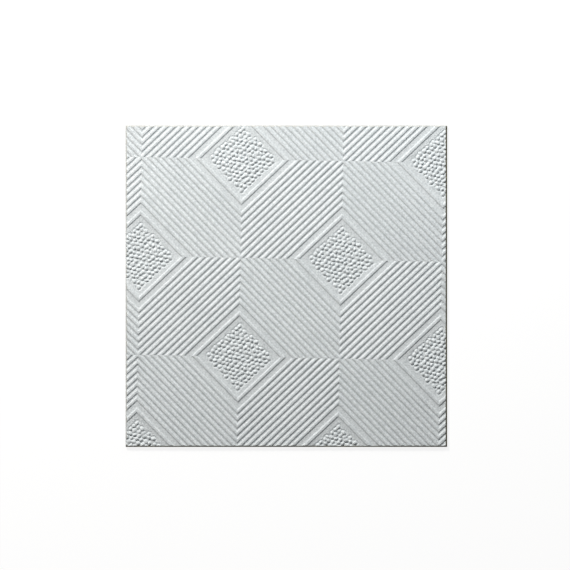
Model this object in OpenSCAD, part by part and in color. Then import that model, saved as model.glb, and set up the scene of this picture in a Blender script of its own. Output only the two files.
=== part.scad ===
// Square lay-in ceiling tile with an embossed face: nested diamond ribs round pebbled centres.
// The tile lies on its back. X runs across the face, Y up the face, Z out of the face. Sizes are in mm.

/* [Tile] */
// Side of the tile across the face
tile_w = 595; // [300:5:620]
// Side of the tile up the face
tile_d = 595; // [300:5:620]
// Board, from its back to the floor of the relief
board_t = 6.5; // [5:0.5:15]
// Width of the eased edge round the face
edge_ease = 3; // [1:0.25:4]

/* [Pattern] */
// Half of a diamond's width, from point to point across
pitch_x = 186.3; // [170:0.1:220]
// Half of a diamond's height, from point to point up the face
pitch_y = 182.8; // [170:0.1:220]
// Turn of the pattern on the board, in degrees
turn = -1.1; // [-5:0.1:5]
// Centre of the first diamond across, from the tile's centre
first_x = 101.4; // [60:0.1:140]
// Centre of the first diamond up, from the tile's centre
first_y = 48.7; // [20:0.1:80]

/* [Ribs] */
// Height of the ribs above the floor of the relief
rib_h = 1.5; // [1:0.1:2]
// Width of a rib at its foot
rib_w = 7; // [6:0.1:7.6]
// Distance from one rib to the next
rib_step = 9.6; // [8.8:0.1:10]
// Ribs inside the border rib of each diamond
rib_count = 6; // [3:1:6]
// Extra width of the frame rib round the pebbles
frame_extra = 1.1; // [0:0.1:2]
// Distance from the innermost rib to the frame rib
frame_gap = 15.6; // [13:0.1:18]

/* [Pebbles] */
// Distance from the frame rib to the edge of the pebbles
pebble_margin = 12.3; // [10:0.1:16]
// Distance between pebbles along a row
pebble_step = 8.6; // [8:0.1:10]
// Largest radius of a pebble
pebble_r = 4; // [3:0.1:4]
// Height of the largest pebbles
pebble_h = 1.4; // [1:0.05:1.4]
// Floor left between two pebbles
pebble_gap = 0.3; // [0.3:0.05:1]
// Wander of the pebbles off their rows, as a share of their distance
pebble_wander = 0.16; // [0:0.01:0.2]

/* [Hidden] */
// Distance from a diamond's centre to its side
reach = pitch_x * pitch_y / norm([pitch_x, pitch_y]);
frame_at = reach - rib_count * rib_step - frame_gap;
field_at = frame_at - pebble_margin;
face_z = board_t + rib_h;
// Depth to which ribs are rooted in the board
root = 1;
// Board beyond the outline, before it is cut to size
spare = 12;
row_step = 0.86 * pebble_step;
rows = max(2, round(2 * field_at / row_step));
in_row = max(2, floor(2 * field_at / pebble_step));

// Point of the face for a place counted in half diamonds from the first diamond
function at(s, v) = [
    first_x + s * pitch_x * cos(turn) - v * pitch_y * sin(turn),
    first_y + s * pitch_x * sin(turn) + v * pitch_y * cos(turn)
];

// Place of a point of the face, counted in half diamonds from the first diamond
function count(p) =
    let (x = p[0] - first_x)
    let (y = p[1] - first_y)
    [(x * cos(turn) + y * sin(turn)) / pitch_x, (y * cos(turn) - x * sin(turn)) / pitch_y];

// Distance from a diamond's centre to the tile, counted along the ribs' spread
function away(p) =
    reach * (max(0, abs(p[0]) - tile_w / 2) / pitch_x + max(0, abs(p[1]) - tile_d / 2) / pitch_y);

// Rounded section of a rib: distance from its middle line, height
function section(w) = [
    [-w / 2, board_t - root],
    [-w / 2, board_t],
    [-w / 2 + 1.3, board_t + 0.78 * rib_h],
    [-w / 2 + 2.4, face_z],
    [w / 2 - 2.4, face_z],
    [w / 2 - 1.3, board_t + 0.78 * rib_h],
    [w / 2, board_t],
    [w / 2, board_t - root]
];

// Steady wander between -1 and 1 for pebble i, j
function wander(i, j, k) = sin(i * i * (71 + k) + j * j * (113 - k) + i * j * 57 + (i - j) * (37 + 9 * k));

// Place of pebble i of row j in its diamond, in half diamonds
function pebble_place(i, j) =
    let (along = i - (in_row - 1) / 2 + (j % 2 == 0 ? 0.25 : -0.25) + pebble_wander * wander(i, j, 0))
    let (over = j - (rows - 1) / 2 + pebble_wander * wander(j, i, 5))
    let (a = along * pebble_step / reach)
    let (b = over * row_step / reach)
    [(a + b) / 2, (a - b) / 2];

// Distance between two places in a diamond, in mm
function apart(p, q) = norm([(p[0] - q[0]) * pitch_x, (p[1] - q[1]) * pitch_y]);

// Radius of pebble i of row j: at most half of the way to its nearest neighbour
function pebble_radius(i, j) =
    let (near = [
        for (di = [-1:1], dj = [-1:1])
            if (di != 0 || dj != 0)
                apart(pebble_place(i, j), pebble_place(i + di, j + dj))
    ])
    min(pebble_r, (min(near) - pebble_gap) / 2);

// Corners of the tile, counted in half diamonds
corners = [for (x = [-1, 1], y = [-1, 1]) count([x * tile_w / 2, y * tile_d / 2])];

// Diamonds that reach the tile
diamonds = [
    for (s = [-5:4], v = [-5:4])
        if ((s + v) % 2 == 0 && away(at(s, v)) < reach)
            [s, v]
];

// Ribs led round the diamonds: diamond, distance of the middle line from its centre, width
rings = [
    for (c = diamonds, k = [0:rib_count])
        let (distance = k == 0 ? frame_at : reach - k * rib_step)
        if (distance > away(at(c[0], c[1])))
            [c, distance, k == 0 ? rib_w + frame_extra : rib_w]
];

// Pebbles on the tile: place, radius, and one of six sets in which no two are neighbours
stones = [
    for (c = diamonds, i = [0:in_row - 1], j = [0:rows - 1])
        let (q = pebble_place(i, j))
        let (p = at(c[0] + q[0], c[1] + q[1]))
        if (abs(p[0]) < tile_w / 2 && abs(p[1]) < tile_d / 2)
            [p, pebble_radius(i, j), i % 2 + 2 * (j % 3)]
];

// Border ribs on the tile: which of the straight lines between diamonds, and its lean
borders = [
    for (lean = [1, -1])
        let (across = [for (c = corners) c[0] - lean * c[1]])
        for (line = [-9:2:9])
            if (line > min(across) && line < max(across))
                [line, lean]
];

// Outline of the tile with its eased face edge
module outline() {
    low = [[-1, -1], [1, -1], [1, 1], [-1, 1]];
    side = [tile_w / 2, tile_d / 2];
    ease_z = face_z - edge_ease;
    points = [
        for (c = low) [c[0] * side[0], c[1] * side[1], 0],
        for (c = low) [c[0] * side[0], c[1] * side[1], ease_z],
        for (c = low) [c[0] * (side[0] - edge_ease - 1), c[1] * (side[1] - edge_ease - 1), face_z + 1]
    ];
    walls = [
        for (ring = [0, 4], k = [0:3])
            [ring + k, ring + 4 + k, ring + 4 + (k + 1) % 4, ring + (k + 1) % 4]
    ];
    polyhedron(points, concat([[0, 1, 2, 3]], walls, [[11, 10, 9, 8]]));
}

// Rib led round diamond c, its middle line a distance from the diamond's centre
module ring_rib(c, distance, w) {
    cut = section(w);
    n = len(cut);
    points = [
        for (corner = [[1, 0], [0, 1], [-1, 0], [0, -1]], q = cut)
            let (d = (distance + q[0]) / reach)
            let (p = at(c[0] + corner[0] * d, c[1] + corner[1] * d))
            [p[0], p[1], q[1]]
    ];
    faces = [
        for (a = [0:3], k = [0:n - 1])
            let (b = (a + 1) % 4)
            let (k2 = (k + 1) % n)
            [a * n + k, b * n + k, b * n + k2, a * n + k2]
    ];
    polyhedron(points, faces);
}

// Straight border rib: lean 1 climbs to the right, lean -1 to the left
module border_rib(line, lean) {
    cut = section(rib_w);
    n = len(cut);
    along = [for (c = corners) (c[0] + lean * c[1]) / 2];
    points = [
        for (end = [min(along) - 0.1, max(along) + 0.1], q = cut)
            let (off = (line + q[0] / reach) / 2)
            let (p = at(end + off, lean * (end - off)))
            [p[0], p[1], q[1]]
    ];
    walls = [
        for (k = [0:n - 1])
            let (k2 = (k + 1) % n)
            [k, n + k, n + k2, k2]
    ];
    faces = concat(walls, [[for (k = [0:n - 1]) k]], [[for (k = [n - 1:-1:0]) n + k]]);
    flip = [for (f = faces) [for (k = [len(f) - 1:-1:0]) f[k]]];
    polyhedron(points, lean > 0 ? faces : flip);
}

// Domed pebbles of one set: balls cut off just under the floor of the relief
module pebbles(set) {
    intersection() {
        translate([-tile_w, -tile_d, board_t - 0.1])
            cube([2 * tile_w, 2 * tile_d, 10]);
        for (q = stones)
            if (q[2] == set)
                let (r = q[1])
                let (h = pebble_h * r / pebble_r)
                let (ball = (r * r + h * h) / (2 * h))
                    translate([q[0][0], q[0][1], board_t + h - ball])
                        sphere(ball);
    }
}

// One board with its face relief, cut to the tile's outline
module ceiling_tile() {
    color([0.87, 0.89, 0.88])
        intersection() {
            outline();
            union() {
                translate([-tile_w / 2 - spare, -tile_d / 2 - spare, -spare])
                    cube([tile_w + 2 * spare, tile_d + 2 * spare, board_t + spare]);
                for (q = rings)
                    ring_rib(q[0], q[1], q[2]);
                for (q = borders)
                    border_rib(q[0], q[1]);
                for (set = [0:5])
                    pebbles(set);
            }
        }
}

ceiling_tile();
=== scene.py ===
"""Looks of the ceiling tile: a smooth embossed face, its raw edge and its back, on a pale floor."""

import math

import bmesh
import bpy
import numpy as np
from mathutils import Matrix, Vector


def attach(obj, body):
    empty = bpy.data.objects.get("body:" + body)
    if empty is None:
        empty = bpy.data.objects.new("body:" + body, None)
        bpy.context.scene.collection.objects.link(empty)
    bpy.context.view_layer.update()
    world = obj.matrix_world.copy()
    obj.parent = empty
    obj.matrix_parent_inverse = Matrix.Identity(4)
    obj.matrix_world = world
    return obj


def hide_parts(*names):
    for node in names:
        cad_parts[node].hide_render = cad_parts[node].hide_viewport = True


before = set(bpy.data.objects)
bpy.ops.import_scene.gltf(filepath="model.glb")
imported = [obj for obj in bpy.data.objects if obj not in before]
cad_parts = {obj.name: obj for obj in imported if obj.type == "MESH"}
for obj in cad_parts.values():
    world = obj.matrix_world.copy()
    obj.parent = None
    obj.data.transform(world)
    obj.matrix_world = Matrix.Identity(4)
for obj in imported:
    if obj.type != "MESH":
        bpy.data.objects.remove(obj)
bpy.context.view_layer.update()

# Metres in a millimetre: the tile is built in mm and scaled once.
MM = 0.001

# Sizes of the source, in mm. The wander and the stagger are shares of the pebbles' distance.
TILE_W = 595.0
TILE_D = 595.0
BOARD = 6.5
EASE = 3.0
PITCH_X = 186.3
PITCH_Y = 182.8
TURN = math.radians(-1.1)
FIRST_X = 101.4
FIRST_Y = 48.7
RIB_H = 1.5
RIB_STEP = 9.6
RIB_COUNT = 6
FRAME_GAP = 15.6
PEBBLE_MARGIN = 12.3
PEBBLE_STEP = 8.6
PEBBLE_WANDER = 0.16
PEBBLE_STAGGER = 0.25
ROW_STEP = 0.86 * PEBBLE_STEP

# What follows from them: distances from a diamond's centre, pebbles in a field, heights over the back.
REACH = PITCH_X * PITCH_Y / math.hypot(PITCH_X, PITCH_Y)
FRAME_AT = REACH - RIB_COUNT * RIB_STEP - FRAME_GAP
FIELD_AT = FRAME_AT - PEBBLE_MARGIN
ROWS = round(2 * FIELD_AT / ROW_STEP)
IN_ROW = int(2 * FIELD_AT / PEBBLE_STEP)
FACE = BOARD + RIB_H
EASE_FOOT = FACE - EASE
HALF = (TILE_W / 2, TILE_D / 2)

# Sides of the tile, right, top, left and bottom: axis and way out.
SIDES = [(0, 1), (1, 1), (0, -1), (1, -1)]
# Sides turned away from the key lamp, where a strip of the film and the eased edge are painted near black
# as shade, with the strip's width in mm.
SHADE_STRIPS = {(0, 1): 3.0, (1, -1): 2.2}

# Rounded ribs: half of the width at the foot in mm, and the power of the flank's fall.
RIB_FOOT = 4.3
RIB_FALL = 4
FRAME_FOOT = 4.4
FRAME_FALL = 3
# Power of the crown of both, and steps in half of a section.
CROWN = 4
SECTION_STEPS = 10

# Pebbles: reach in mm, height as a share of the ribs' height, and the power of the dome's fall.
PEBBLE_FOOT = 4.3
PEBBLE_TALL = 0.86
DOME = 2.2
# How much their reach, height and length vary.
FOOT_VARIES = 0.13
TALL_VARIES = 0.14
LONG_VARIES = 0.16

# Depth of the grooves between pebbles under the floor of the relief, in mm.
GROOVE = 1.4
# Where they run out, and over which stretch, counted in a pebble's reach.
BETWEEN_ENDS = 1.7
BETWEEN_FADES = 0.4
# The same for the groove round the field, and its share of the depth.
AROUND_ENDS = 1.45
AROUND_FADES = 0.3
AROUND_DEPTH = 0.6

# Mesh of a pebble field: cells along a side, and the floor that it takes in round the pebbles, in mm.
FIELD_CELLS = 116
FIELD_SPARE = 3.0

# Half diamonds counted either way from the first diamond, enough to pass the tile's edges.
SPAN = range(-5, 5)
# Corners of a diamond, counted from its centre.
CORNERS = [(1, 0), (0, 1), (-1, 0), (0, -1)]

# Distances in mm within which points are one, or lie on a plane.
SEAM = 0.004
RIM_SEAM = 0.01
CUT_SEAM = 1e-4
ON_PLANE = 2e-3

# Material slots of the tile.
# The third slot is painted shade: near black, used on the sides turned from the key lamp.
FILM, RAW, PAINTED_SHADE, PAPER = range(4)

# The photo in pixels: its width, the tile's width in it, and the tile's centre right of and below its own.
PHOTO_PX = 570
TILE_PX = 321.5
RIGHT_PX = 1.4
BELOW_PX = 1.15

# Camera, in metres over the face, and its sensor's width in mm.
CAMERA_H = 3.0
SENSOR = 36.0

# Floor: half of its side and its place under the tile, in metres.
FLOOR_HALF = 6.0
FLOOR_DROP = 0.0004
# Its tone towards the tile, and its tone and glow as the camera sees it.
FLOOR_TONE = 0.8
FLOOR_SEEN = 0.16
FLOOR_GLOW = 0.87

# Light of the surroundings on the tile. The camera sees them nearly white.
SKY_LIGHT = 0.07


def at(s, v):
    """Point of the face for a place counted in half diamonds from the first diamond."""
    x = s * PITCH_X
    y = v * PITCH_Y
    c = math.cos(TURN)
    n = math.sin(TURN)
    return FIRST_X + x * c - y * n, FIRST_Y + x * n + y * c


def diamonds():
    """Diamonds that reach the tile: their places, and how far from their centres the tile begins."""
    for s in SPAN:
        for v in SPAN:
            x, y = at(s, v)
            gap = max(0, abs(x) - HALF[0]) / PITCH_X + max(0, abs(y) - HALF[1]) / PITCH_Y
            if (s + v) % 2 == 0 and gap < 1:
                yield s, v, gap * REACH


def section(foot, fall):
    """Half of a rib's section: distances from its middle line, with shares of its height."""
    steps = [k / SECTION_STEPS for k in range(SECTION_STEPS + 1)]
    return [(foot * t, (1 - t**CROWN) ** fall) for t in steps]


def levels():
    """Distances from a diamond's centre at which the ribbed face bends, with their heights.

    They run from the frame rib out to the middle of the border rib, which neighbours share.
    """
    ribs = [(FRAME_AT, section(FRAME_FOOT, FRAME_FALL))]
    for k in range(RIB_COUNT, -1, -1):
        ribs.append((REACH - k * RIB_STEP, section(RIB_FOOT, RIB_FALL)))
    bends = []
    for middle, half in ribs:
        bends += [(middle - u, h) for u, h in reversed(half)]
        bends += [(middle + u, h) for u, h in half[1:]]
    bends = bends[:-SECTION_STEPS]
    return [(d, BOARD + RIB_H * h) for d, h in bends]


def lead_ribs(bm, s, v, bends):
    """Leads the ribs round a diamond, sharp along its mitres, and returns their innermost corners."""
    loops = []
    for d, z in bends:
        d /= REACH
        loops.append([bm.verts.new((*at(s + x * d, v + y * d), z)) for x, y in CORNERS])
    for low, high in zip(loops, loops[1:]):
        for k in range(4):
            m = (k + 1) % 4
            bm.faces.new((low[k], high[k], high[m], low[m]))
        for k in range(4):
            bm.edges.get((low[k], high[k])).smooth = False
    return loops[0]


def wander(i, j, k):
    """Steady wander between -1 and 1 for pebble i, j, by the source's rule."""
    degrees = i * i * (71 + k) + j * j * (113 - k) + i * j * 57 + (i - j) * (37 + 9 * k)
    return math.sin(math.radians(degrees))


def pebble_place(i, j):
    """Distances of pebble i of row j from its diamond's centre, along the diamond's two sides."""
    stagger = PEBBLE_STAGGER if j % 2 == 0 else -PEBBLE_STAGGER
    along = i - (IN_ROW - 1) / 2 + stagger + PEBBLE_WANDER * wander(i, j, 0)
    over = j - (ROWS - 1) / 2 + PEBBLE_WANDER * wander(j, i, 5)
    return along * PEBBLE_STEP, over * ROW_STEP


def pebble_heights(a, b):
    """Height over the floor at distances a, b along a diamond's sides.

    The pebbles are domes that meet in grooves; away from them the floor is flat.
    """
    h = np.full_like(a, -GROOVE)
    first = np.full_like(a, np.inf)
    second = np.full_like(a, np.inf)
    for i in range(IN_ROW):
        for j in range(ROWS):
            pa, pb = pebble_place(i, j)
            foot = PEBBLE_FOOT * (1 + FOOT_VARIES * wander(i, j, 1))
            tall = RIB_H * (PEBBLE_TALL + TALL_VARIES * wander(j, i, 3))
            long = 1 + LONG_VARIES * wander(i, j, 4)
            spin = math.pi * wander(j, i, 2)
            da = a - pa
            db = b - pb
            p = (da * math.cos(spin) + db * math.sin(spin)) / (foot * long)
            q = (db * math.cos(spin) - da * math.sin(spin)) / (foot / long)
            away = np.hypot(p, q)
            h = np.maximum(h, tall - (tall + GROOVE) * away**DOME)
            second = np.minimum(second, np.maximum(first, away))
            first = np.minimum(first, away)
    between = np.clip((BETWEEN_ENDS - second) / BETWEEN_FADES, 0, 1)
    around = AROUND_DEPTH * np.clip((AROUND_ENDS - first) / AROUND_FADES, 0, 1)
    return np.maximum(h, -GROOVE * np.maximum(between, around))


def lay_pebbles(bm, s, v, line, relief, inner):
    """Fills a diamond inside its frame rib: a field of pebbles, and flat floor from it to the rib."""
    grid = []
    for i, a in enumerate(line):
        row = []
        for j, b in enumerate(line):
            x, y = at(s + (a + b) / 2 / REACH, v + (a - b) / 2 / REACH)
            row.append(bm.verts.new((x, y, BOARD + relief[i][j])))
        grid.append(row)
    for near, far in zip(grid, grid[1:]):
        for j in range(FIELD_CELLS):
            bm.faces.new((near[j], near[j + 1], far[j + 1], far[j]))
    right, top, left, bottom = inner
    bm.faces.new((right, top, *grid[-1]))
    bm.faces.new((top, left, *[row[0] for row in grid]))
    bm.faces.new((left, bottom, *reversed(grid[0])))
    bm.faces.new((bottom, right, *[row[-1] for row in reversed(grid)]))


def build_face():
    """The embossed face, somewhat larger than the tile."""
    bm = bmesh.new()
    bends = levels()
    side = FIELD_AT + FIELD_SPARE
    line = np.linspace(-side, side, FIELD_CELLS + 1)
    relief = pebble_heights(*np.meshgrid(line, line, indexing="ij"))
    relief[[0, -1], :] = 0
    relief[:, [0, -1]] = 0
    for s, v, gap in diamonds():
        inner = lead_ribs(bm, s, v, bends)
        if gap > bends[0][0]:
            bm.faces.new(inner)
        else:
            lay_pebbles(bm, s, v, line, relief, inner)
    for f in bm.faces:
        f.smooth = True
        f.material_index = FILM
    bmesh.ops.remove_doubles(bm, verts=bm.verts, dist=SEAM)
    return bm


def ease_planes():
    """Planes of the eased edges, one for each side: a point and the way out."""
    planes = []
    for axis, way in SIDES:
        point = Vector((0, 0, EASE_FOOT))
        point[axis] = way * HALF[axis]
        normal = Vector((0, 0, 1))
        normal[axis] = way
        planes.append((point, normal.normalized()))
    return planes


def on(v, plane):
    """Whether a vertex lies on a plane."""
    point, normal = plane
    return abs((v.co - point).dot(normal)) < ON_PLANE


def cut(bm, point, normal, **options):
    """Cuts the mesh along a plane."""
    geom = bm.verts[:] + bm.edges[:] + bm.faces[:]
    bmesh.ops.bisect_plane(bm, geom=geom, dist=CUT_SEAM, plane_co=point, plane_no=normal, **options)


def cut_to_size(bm, planes):
    """Cuts the face along the eased edges, and paints shade on the strips along the two sides turned from
    the key lamp.
    """
    for plane in planes:
        cut(bm, *plane, clear_outer=True)
    for (axis, way), width in SHADE_STRIPS.items():
        normal = Vector((0, 0, 0))
        normal[axis] = way
        cut(bm, normal * (HALF[axis] - width), normal)
        # Painted shade: the film's faces in the strip take the near-black slot.
        for f in bm.faces:
            if f.calc_center_median()[axis] * way > HALF[axis] - width:
                f.material_index = PAINTED_SHADE


def find_rims(bm, planes):
    """Edges of the cut face along each eased edge, cleared of points that lie too close together.

    The points that two eased edges share stay as they are.
    """
    loose = [v for v in bm.verts if v.is_boundary and sum(on(v, plane) for plane in planes) == 1]
    bmesh.ops.remove_doubles(bm, verts=loose, dist=RIM_SEAM)
    rim = [e for e in bm.edges if e.is_boundary]
    return [[e for e in rim if all(on(v, plane) for v in e.verts)] for plane in planes]


def close_board(bm, planes):
    """Closes the cut face with its eased edges, the raw sides and the back."""
    rims = find_rims(bm, planes)
    # Corners from the lower right one on, each with the edge that climbs from it to the face.
    around = [(1, -1), (1, 1), (-1, 1), (-1, -1)]
    lower = [bm.verts.new((x * HALF[0], y * HALF[1], 0)) for x, y in around]
    upper = [bm.verts.new((x * HALF[0], y * HALF[1], EASE_FOOT)) for x, y in around]
    hips = []
    for k in range(4):
        end = next(v for e in rims[k] for v in e.verts if on(v, planes[k - 1]))
        hips.append(bm.edges.new((upper[k], end)))
    edges = []
    for k in range(4):
        m = (k + 1) % 4
        side = bm.faces.new((lower[k], lower[m], upper[m], upper[k]))
        side.material_index = RAW
        foot = bm.edges.get((upper[k], upper[m]))
        outline = [*rims[k], foot, hips[k], hips[m]]
        filled = bmesh.ops.triangle_fill(bm, use_beauty=True, edges=outline, normal=planes[k][1])
        eased = [f for f in filled["geom"] if isinstance(f, bmesh.types.BMFace)]
        for f in eased:
            # Painted shade: the eased edges on the sides turned from the key lamp take the near-black
            # slot.
            f.material_index = PAINTED_SHADE if SIDES[k] in SHADE_STRIPS else RAW
        edges += [side, *eased]
    back = bm.faces.new(lower)
    back.material_index = PAPER
    bmesh.ops.recalc_face_normals(bm, faces=bm.faces)
    for f in [*edges, back]:
        f.smooth = False
        for e in f.edges:
            e.smooth = False


def material(name):
    """A new material with its node tree and its shader."""
    mat = bpy.data.materials.new(name)
    mat.use_nodes = True
    return mat, mat.node_tree, mat.node_tree.nodes["Principled BSDF"]


def add(tree, kind, **values):
    """Adds a node and sets its inputs and options by name."""
    node = tree.nodes.new(kind)
    for name, value in values.items():
        if name in node.inputs:
            node.inputs[name].default_value = value
        else:
            setattr(node, name, value)
    return node


def noise(tree, place, **values):
    """Noise over the tile; returns its socket."""
    node = add(tree, "ShaderNodeTexNoise", **values)
    tree.links.new(place, node.inputs["Vector"])
    return node.outputs["Fac"]


def ramp(tree, source, *stops):
    """Colours for a value from 0 to 1, each stop a position and a colour; returns their socket."""
    node = add(tree, "ShaderNodeValToRGB")
    for element, (position, colour) in zip(node.color_ramp.elements, stops):
        element.position = position
        element.color = (*colour, 1)
    tree.links.new(source, node.inputs["Fac"])
    return node.outputs["Color"]


def map_range(tree, source, low, high):
    """Turns 0 to 1 into low to high; returns the socket."""
    node = add(tree, "ShaderNodeMapRange")
    node.inputs["To Min"].default_value = low
    node.inputs["To Max"].default_value = high
    tree.links.new(source, node.inputs["Value"])
    return node.outputs["Result"]


def bump(tree, shader, height, strength, distance):
    """Lets a value raise the surface a little, by a distance in metres."""
    node = add(tree, "ShaderNodeBump", Strength=strength, Distance=distance)
    tree.links.new(height, node.inputs["Height"])
    tree.links.new(node.outputs["Normal"], shader.inputs["Normal"])


def multiply(tree, a, b):
    """Product of two colours; returns its socket."""
    node = add(tree, "ShaderNodeMix", data_type="RGBA", blend_type="MULTIPLY", Factor=1.0)
    colours = [socket for socket in node.inputs if socket.type == "RGBA"]
    tree.links.new(a, colours[0])
    tree.links.new(b, colours[1])
    return next(socket for socket in node.outputs if socket.type == "RGBA")


def white_film():
    """Matte white film with a fine grain and a faint unevenness of tone."""
    mat, tree, shader = material("white_film")
    shader.inputs["Specular IOR Level"].default_value = 0.12
    place = add(tree, "ShaderNodeTexCoord").outputs["Object"]
    fine = noise(tree, place, Scale=420.0, Detail=4.0, Roughness=0.7)
    broad = noise(tree, place, Scale=9.0, Detail=4.0, Roughness=0.5)
    speck = noise(tree, place, Scale=330.0, Detail=2.0, Roughness=0.5)
    tone = ramp(tree, broad, (0.3, (0.676, 0.712, 0.726)), (0.7, (0.717, 0.753, 0.766)))
    dust = ramp(tree, speck, (0.35, (0.78, 0.792, 0.80)), (0.6, (1, 1, 1)))
    tree.links.new(multiply(tree, tone, dust), shader.inputs["Base Color"])
    tree.links.new(map_range(tree, fine, low=0.6, high=0.8), shader.inputs["Roughness"])
    bump(tree, shader, fine, strength=1.0, distance=0.0007)
    return mat


def cut_edge(name, dark, pale):
    """Cut edge of the board, with fibres along the sheet."""
    mat, tree, shader = material(name)
    shader.inputs["Roughness"].default_value = 0.85
    place = add(tree, "ShaderNodeTexCoord").outputs["Object"]
    spread = add(tree, "ShaderNodeMapping", Scale=(60, 60, 900))
    tree.links.new(place, spread.inputs["Vector"])
    fibre = noise(tree, spread.outputs["Vector"], Scale=1.0, Detail=5.0, Roughness=0.6)
    tone = ramp(tree, fibre, (0.3, dark), (0.72, pale))
    tree.links.new(tone, shader.inputs["Base Color"])
    bump(tree, shader, fibre, strength=0.4, distance=0.0003)
    return mat


def back_paper():
    """Plain backing paper with short fibres."""
    mat, tree, shader = material("back_paper")
    shader.inputs["Roughness"].default_value = 0.9
    place = add(tree, "ShaderNodeTexCoord").outputs["Object"]
    fibre = noise(tree, place, Scale=260.0, Detail=6.0, Roughness=0.6, Distortion=1.2)
    tone = ramp(tree, fibre, (0.3, (0.50, 0.475, 0.42)), (0.7, (0.60, 0.575, 0.52)))
    tree.links.new(tone, shader.inputs["Base Color"])
    bump(tree, shader, fibre, strength=0.3, distance=0.0002)
    return mat


def shows_background(tree):
    """Socket that is 1 for rays that bring the background to the camera, straight or by gloss or glass."""
    ray = add(tree, "ShaderNodeLightPath")
    seen = ray.outputs["Is Camera Ray"]
    for way in ("Is Glossy Ray", "Is Transmission Ray"):
        either = add(tree, "ShaderNodeMath", operation="MAXIMUM")
        tree.links.new(seen, either.inputs[0])
        tree.links.new(ray.outputs[way], either.inputs[1])
        seen = either.outputs[0]
    return seen


def floor_paper():
    """Pale floor: nearly white to the camera, and still shaded under the tile."""
    mat, tree, shader = material("floor")
    shader.inputs["Roughness"].default_value = 0.9
    shader.inputs["Specular IOR Level"].default_value = 0.0
    shader.inputs["Emission Color"].default_value = (1, 1, 1, 1)
    seen = shows_background(tree)
    tone = map_range(tree, seen, low=FLOOR_TONE, high=FLOOR_SEEN)
    glow = map_range(tree, seen, low=0.0, high=FLOOR_GLOW)
    tree.links.new(tone, shader.inputs["Base Color"])
    tree.links.new(glow, shader.inputs["Emission Strength"])
    return mat


def place_object(name, data):
    """Puts a new object into the scene."""
    thing = bpy.data.objects.new(name, data)
    bpy.context.scene.collection.objects.link(thing)
    return thing


def area(name, place, power, size, colour):
    """Square lamp that looks at the tile's centre: place and size in metres, power in watts."""
    data = bpy.data.lights.new(name, "AREA")
    data.energy = power
    data.size = size
    data.color = colour
    lamp = place_object(name, data)
    lamp.location = place
    lamp.rotation_euler = (-lamp.location).to_track_quat("-Z", "Y").to_euler()


# Tile
planes = ease_planes()
bm = build_face()
cut_to_size(bm, planes)
close_board(bm, planes)
bmesh.ops.transform(bm, matrix=Matrix.Scale(MM, 4), verts=bm.verts)
mesh = bpy.data.meshes.new("tile_face")
bm.to_mesh(mesh)
bm.free()
tile = place_object("tile", mesh)
mesh.materials.append(white_film())
mesh.materials.append(cut_edge("raw_board", dark=(0.40, 0.405, 0.385), pale=(0.48, 0.485, 0.465)))
# Painted shade: a near-black cut edge, used only on the sides turned from the key lamp.
mesh.materials.append(cut_edge("painted_shade_edge", dark=(0.072, 0.067, 0.04), pale=(0.122, 0.113, 0.07)))
mesh.materials.append(back_paper())
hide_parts("ceiling_tile")
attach(tile, "root")

# Floor
floor_mesh = bpy.data.meshes.new("floor")
floor_corners = [(x * FLOOR_HALF, y * FLOOR_HALF, 0) for x, y in ((-1, -1), (1, -1), (1, 1), (-1, 1))]
floor_mesh.from_pydata(floor_corners, [], [(0, 1, 2, 3)])
floor_mesh.materials.append(floor_paper())
floor = place_object("floor", floor_mesh)
floor.location.z = -FLOOR_DROP

# Light: a key lamp from the upper left, a weak side lamp from the upper right, and a dim sky
area("key", place=(-1.3, 2.2, 1.9), power=132.0, size=0.5, colour=(1.0, 0.975, 0.945))
area("side", place=(0.68, 1.12, 0.74), power=5.459, size=0.35, colour=(0.8835, 0.9563, 1.0))
world = bpy.data.worlds.new("studio")
world.use_nodes = True
tree = world.node_tree
sky = tree.nodes["Background"]
sky.inputs["Color"].default_value = (0.97, 0.99, 1.0, 1)
strength = map_range(tree, shows_background(tree), low=SKY_LIGHT, high=1.0)
tree.links.new(strength, sky.inputs["Strength"])
bpy.context.scene.world = world

# Camera: straight over the face, with the tile's outline as large as in the photo
pixel = TILE_W * MM / TILE_PX
camera = bpy.data.cameras.new("camera")
view = place_object("camera", camera)
view.location = (-RIGHT_PX * pixel, BELOW_PX * pixel, CAMERA_H + FACE * MM)
camera.sensor_width = SENSOR
camera.lens = SENSOR * (CAMERA_H + EASE * MM) / (PHOTO_PX * pixel)
bpy.context.scene.camera = view
bpy.context.scene.view_settings.view_transform = "Standard"
